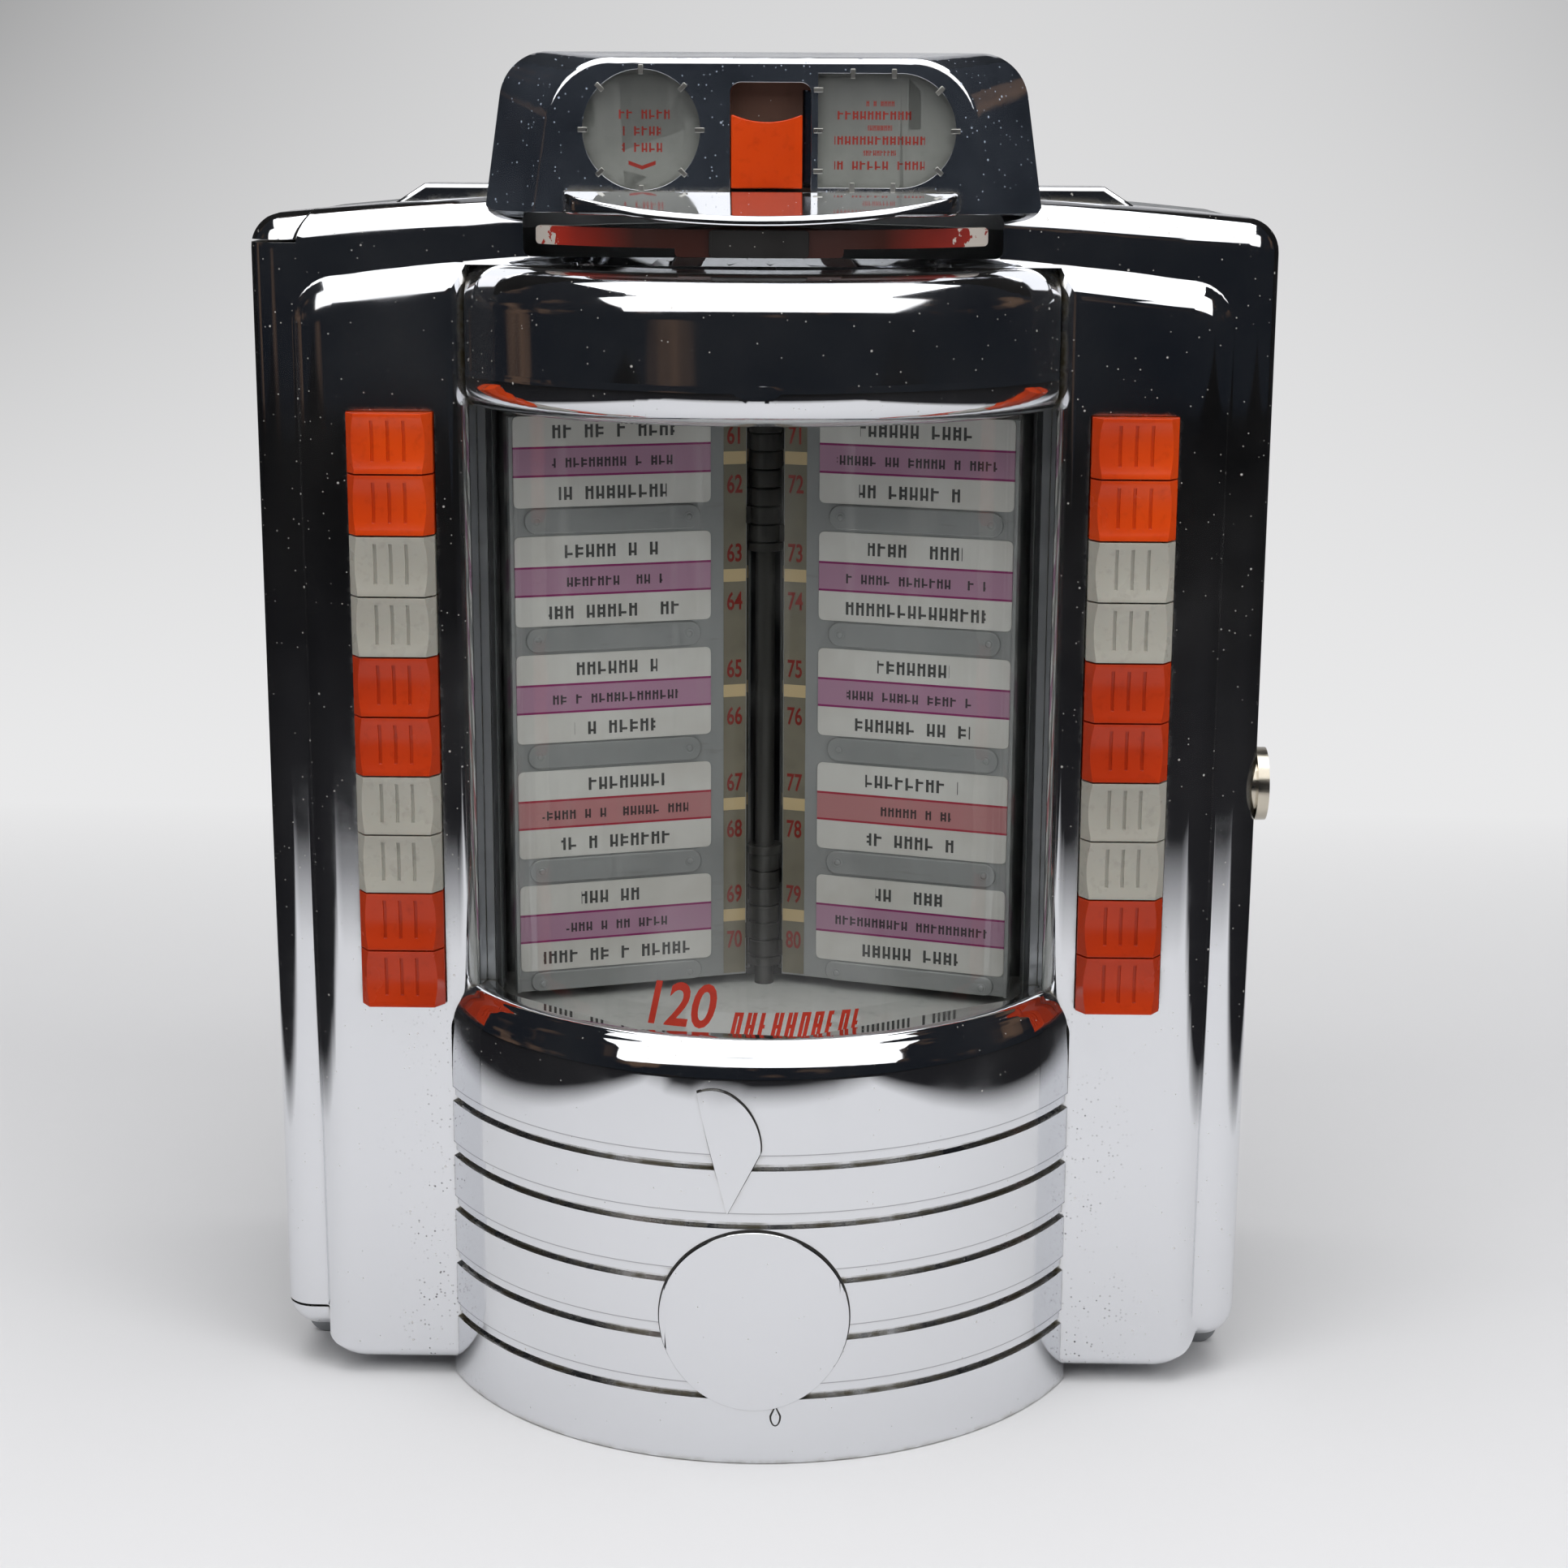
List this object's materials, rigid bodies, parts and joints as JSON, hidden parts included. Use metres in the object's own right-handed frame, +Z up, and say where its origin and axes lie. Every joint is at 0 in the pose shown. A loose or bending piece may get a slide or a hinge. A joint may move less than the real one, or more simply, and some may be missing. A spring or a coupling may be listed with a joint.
{
  "type": "jukebox wall box selector",
  "caption": "wall-mounted remote song selector: chrome hinged door with push-button columns, curved window over turning title pages, page bar, coin slot with return key, side lock",
  "frame": {"origin": "on the page spindle's axis, in the plane of the flat bottom that the case rests on", "axes": "+X right, +Y back towards the wall, +Z up along the page spindle"},
  "size_m": [0.2993, 0.1926, 0.4004],
  "materials": {
    "chrome": "polished chrome plate with light pitting",
    "grey_steel": "grey enamelled sheet steel",
    "plated_steel": "zinc plated steel",
    "brass": "turned brass",
    "black_rubber": "black rubber",
    "brown_plastic": "dark brown moulded plastic",
    "black_plastic": "black moulded insulation",
    "orange_plastic": "translucent orange plastic",
    "grey_plastic": "warm grey plastic",
    "red_paint": "red paint, worn at the tips",
    "maroon_enamel": "maroon enamel",
    "clear_glass": "clear curved glass",
    "clear_plastic": "clear plastic",
    "card": "printed card",
    "page_metal": "pressed aluminium page frame",
    "floor_grey": "light grey paint"
  },
  "bodies": {
    "case": {"rear_case": "grey_steel", "hinge_ears": "chrome", "hinge_pins": "plated_steel", "lock_strike": "plated_steel", "cable_grommet": "black_rubber", "coin_chute": "plated_steel", "coin_cup": "plated_steel", "relay_unit": "grey_steel", "terminal_strip": "black_plastic"},
    "door": {"door_frame": "chrome", "header_panel": "chrome", "base_apron": "chrome", "window_glass": "clear_glass", "window_channels": "chrome", "medallion": "maroon_enamel", "crest": "maroon_enamel", "hood": "chrome", "coin_pocket": "brown_plastic", "lens_round": "clear_plastic", "lens_d": "clear_plastic", "lens_tabs": "chrome", "instruction_cards": "card", "rack_right": "black_plastic", "rack_left": "black_plastic", "spindle": "plated_steel", "holder_floor": "floor_grey", "holder_bracket": "floor_grey", "lock_body": "brass"},
    "page_bar": {"page_bar": "red_paint", "bar_block": "grey_plastic"},
    "coin_return_key": {"coin_return_key": "orange_plastic"},
    "lock_plug": {"lock_plug": "brass"},
    "leaf_1": {"leaf_1": "page_metal"},
    "leaf_2": {"leaf_2": "page_metal"},
    "leaf_3": {"leaf_3": "page_metal"},
    "leaf_4": {"leaf_4": "page_metal"},
    "leaf_5": {"leaf_5": "page_metal"},
    "leaf_6": {"leaf_6": "page_metal"},
    "button_left_1": {"button_left_1": "orange_plastic"},
    "button_left_2": {"button_left_2": "orange_plastic"},
    "button_left_3": {"button_left_3": "grey_plastic"},
    "button_left_4": {"button_left_4": "grey_plastic"},
    "button_left_5": {"button_left_5": "orange_plastic"},
    "button_left_6": {"button_left_6": "orange_plastic"},
    "button_left_7": {"button_left_7": "grey_plastic"},
    "button_left_8": {"button_left_8": "grey_plastic"},
    "button_left_9": {"button_left_9": "orange_plastic"},
    "button_left_10": {"button_left_10": "orange_plastic"},
    "button_right_1": {"button_right_1": "orange_plastic"},
    "button_right_2": {"button_right_2": "orange_plastic"},
    "button_right_3": {"button_right_3": "grey_plastic"},
    "button_right_4": {"button_right_4": "grey_plastic"},
    "button_right_5": {"button_right_5": "orange_plastic"},
    "button_right_6": {"button_right_6": "orange_plastic"},
    "button_right_7": {"button_right_7": "grey_plastic"},
    "button_right_8": {"button_right_8": "grey_plastic"},
    "button_right_9": {"button_right_9": "orange_plastic"},
    "button_right_10": {"button_right_10": "orange_plastic"}
  },
  "joints": [
    {"name": "door_swing", "type": "hinge", "parent": "case", "child": "door", "pos_m": [-0.141, -0.033, 0.184], "axis": [0, 0, -1], "range_deg": [0, 100]},
    {"name": "leaf_1_turn", "type": "hinge", "parent": "door", "child": "leaf_1", "pos_m": [0, 0, 0.2], "axis": [0, 0, -1], "range_deg": [0, 144]},
    {"name": "leaf_2_turn", "type": "hinge", "parent": "door", "child": "leaf_2", "pos_m": [0, 0, 0.2], "axis": [0, 0, -1], "range_deg": [0, 28]},
    {"name": "leaf_3_turn", "type": "hinge", "parent": "door", "child": "leaf_3", "pos_m": [0, 0, 0.2], "axis": [0, 0, -1], "range_deg": [0, 28]},
    {"name": "leaf_4_turn", "type": "hinge", "parent": "door", "child": "leaf_4", "pos_m": [0, 0, 0.2], "axis": [0, 0, -1], "range_deg": [0, 104]},
    {"name": "leaf_5_turn", "type": "hinge", "parent": "door", "child": "leaf_5", "pos_m": [0, 0, 0.2], "axis": [0, 0, -1], "range_deg": [0, 28]},
    {"name": "leaf_6_turn", "type": "hinge", "parent": "door", "child": "leaf_6", "pos_m": [0, 0, 0.2], "axis": [0, 0, -1], "range_deg": [0, 28]},
    {"name": "page_bar_rock", "type": "hinge", "parent": "door", "child": "page_bar", "pos_m": [0, 0, 0.349], "axis": [0, 0, -1], "range_deg": [0, 2.6]},
    {"name": "button_left_1_press", "type": "slide", "parent": "door", "child": "button_left_1", "axis": [0, 1, 0], "range_m": [0, 0.004], "stiffness_N_per_m": 400, "springref_m": -0.002},
    {"name": "button_left_2_press", "type": "slide", "parent": "door", "child": "button_left_2", "axis": [0, 1, 0], "range_m": [0, 0.004], "stiffness_N_per_m": 400, "springref_m": -0.002},
    {"name": "button_left_3_press", "type": "slide", "parent": "door", "child": "button_left_3", "axis": [0, 1, 0], "range_m": [0, 0.004], "stiffness_N_per_m": 400, "springref_m": -0.002},
    {"name": "button_left_4_press", "type": "slide", "parent": "door", "child": "button_left_4", "axis": [0, 1, 0], "range_m": [0, 0.004], "stiffness_N_per_m": 400, "springref_m": -0.002},
    {"name": "button_left_5_press", "type": "slide", "parent": "door", "child": "button_left_5", "axis": [0, 1, 0], "range_m": [0, 0.004], "stiffness_N_per_m": 400, "springref_m": -0.002},
    {"name": "button_left_6_press", "type": "slide", "parent": "door", "child": "button_left_6", "axis": [0, 1, 0], "range_m": [0, 0.004], "stiffness_N_per_m": 400, "springref_m": -0.002},
    {"name": "button_left_7_press", "type": "slide", "parent": "door", "child": "button_left_7", "axis": [0, 1, 0], "range_m": [0, 0.004], "stiffness_N_per_m": 400, "springref_m": -0.002},
    {"name": "button_left_8_press", "type": "slide", "parent": "door", "child": "button_left_8", "axis": [0, 1, 0], "range_m": [0, 0.004], "stiffness_N_per_m": 400, "springref_m": -0.002},
    {"name": "button_left_9_press", "type": "slide", "parent": "door", "child": "button_left_9", "axis": [0, 1, 0], "range_m": [0, 0.004], "stiffness_N_per_m": 400, "springref_m": -0.002},
    {"name": "button_left_10_press", "type": "slide", "parent": "door", "child": "button_left_10", "axis": [0, 1, 0], "range_m": [0, 0.004], "stiffness_N_per_m": 400, "springref_m": -0.002},
    {"name": "button_right_1_press", "type": "slide", "parent": "door", "child": "button_right_1", "axis": [0, 1, 0], "range_m": [0, 0.004], "stiffness_N_per_m": 400, "springref_m": -0.002},
    {"name": "button_right_2_press", "type": "slide", "parent": "door", "child": "button_right_2", "axis": [0, 1, 0], "range_m": [0, 0.004], "stiffness_N_per_m": 400, "springref_m": -0.002},
    {"name": "button_right_3_press", "type": "slide", "parent": "door", "child": "button_right_3", "axis": [0, 1, 0], "range_m": [0, 0.004], "stiffness_N_per_m": 400, "springref_m": -0.002},
    {"name": "button_right_4_press", "type": "slide", "parent": "door", "child": "button_right_4", "axis": [0, 1, 0], "range_m": [0, 0.004], "stiffness_N_per_m": 400, "springref_m": -0.002},
    {"name": "button_right_5_press", "type": "slide", "parent": "door", "child": "button_right_5", "axis": [0, 1, 0], "range_m": [0, 0.004], "stiffness_N_per_m": 400, "springref_m": -0.002},
    {"name": "button_right_6_press", "type": "slide", "parent": "door", "child": "button_right_6", "axis": [0, 1, 0], "range_m": [0, 0.004], "stiffness_N_per_m": 400, "springref_m": -0.002},
    {"name": "button_right_7_press", "type": "slide", "parent": "door", "child": "button_right_7", "axis": [0, 1, 0], "range_m": [0, 0.004], "stiffness_N_per_m": 400, "springref_m": -0.002},
    {"name": "button_right_8_press", "type": "slide", "parent": "door", "child": "button_right_8", "axis": [0, 1, 0], "range_m": [0, 0.004], "stiffness_N_per_m": 400, "springref_m": -0.002},
    {"name": "button_right_9_press", "type": "slide", "parent": "door", "child": "button_right_9", "axis": [0, 1, 0], "range_m": [0, 0.004], "stiffness_N_per_m": 400, "springref_m": -0.002},
    {"name": "button_right_10_press", "type": "slide", "parent": "door", "child": "button_right_10", "axis": [0, 1, 0], "range_m": [0, 0.004], "stiffness_N_per_m": 400, "springref_m": -0.002},
    {"name": "coin_return_slide", "type": "slide", "parent": "door", "child": "coin_return_key", "axis": [0, 0, -1], "range_m": [0, 0.004], "stiffness_N_per_m": 250, "springref_m": -0.002},
    {"name": "lock_turn", "type": "hinge", "parent": "door", "child": "lock_plug", "pos_m": [0.14, -0.0305, 0.188], "axis": [1, 0, 0], "range_deg": [0, 90]}
  ],
  "couplings": [
    {"joint": "leaf_2_turn", "follows": "leaf_1_turn", "ratio": 0.19444},
    {"joint": "leaf_3_turn", "follows": "leaf_1_turn", "ratio": 0.19444},
    {"joint": "leaf_4_turn", "follows": "leaf_1_turn", "ratio": 0.72222},
    {"joint": "leaf_5_turn", "follows": "leaf_1_turn", "ratio": 0.19444},
    {"joint": "leaf_6_turn", "follows": "leaf_1_turn", "ratio": 0.19444},
    {"joint": "page_bar_rock", "follows": "leaf_1_turn", "ratio": 0.018}
  ]
}
